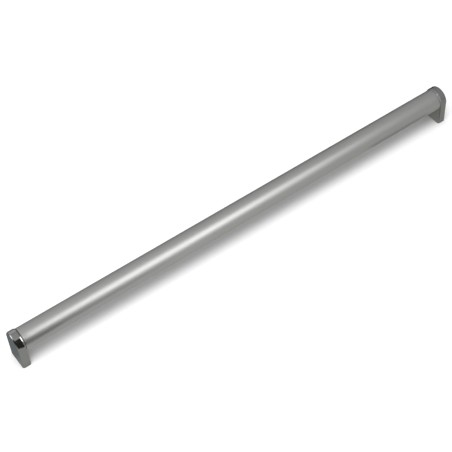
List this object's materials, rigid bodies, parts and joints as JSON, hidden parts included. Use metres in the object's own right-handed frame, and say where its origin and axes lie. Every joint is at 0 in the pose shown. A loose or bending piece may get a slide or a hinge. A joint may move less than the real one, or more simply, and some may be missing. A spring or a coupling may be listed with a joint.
{
  "type": "furniture handle",
  "caption": "Long tubular furniture handle: satin aluminium grip tube carried between arched chrome end supports with flat feet, fixed by screws from behind the panel.",
  "frame": {"origin": "midway between the two fixing screws, on the mounting face", "axes": "+X along the grip tube, +Y across it, +Z away from the furniture"},
  "size_m": [0.456, 0.0214, 0.0345],
  "materials": {
    "satin_aluminium": "satin anodised, with a faint drawn grain along the tube",
    "polished_chrome": "polished bright chrome plate on a zinc casting"
  },
  "bodies": {
    "root": {"tube": "satin_aluminium", "left_end_support": "polished_chrome", "right_end_support": "polished_chrome"}
  },
  "joints": []
}
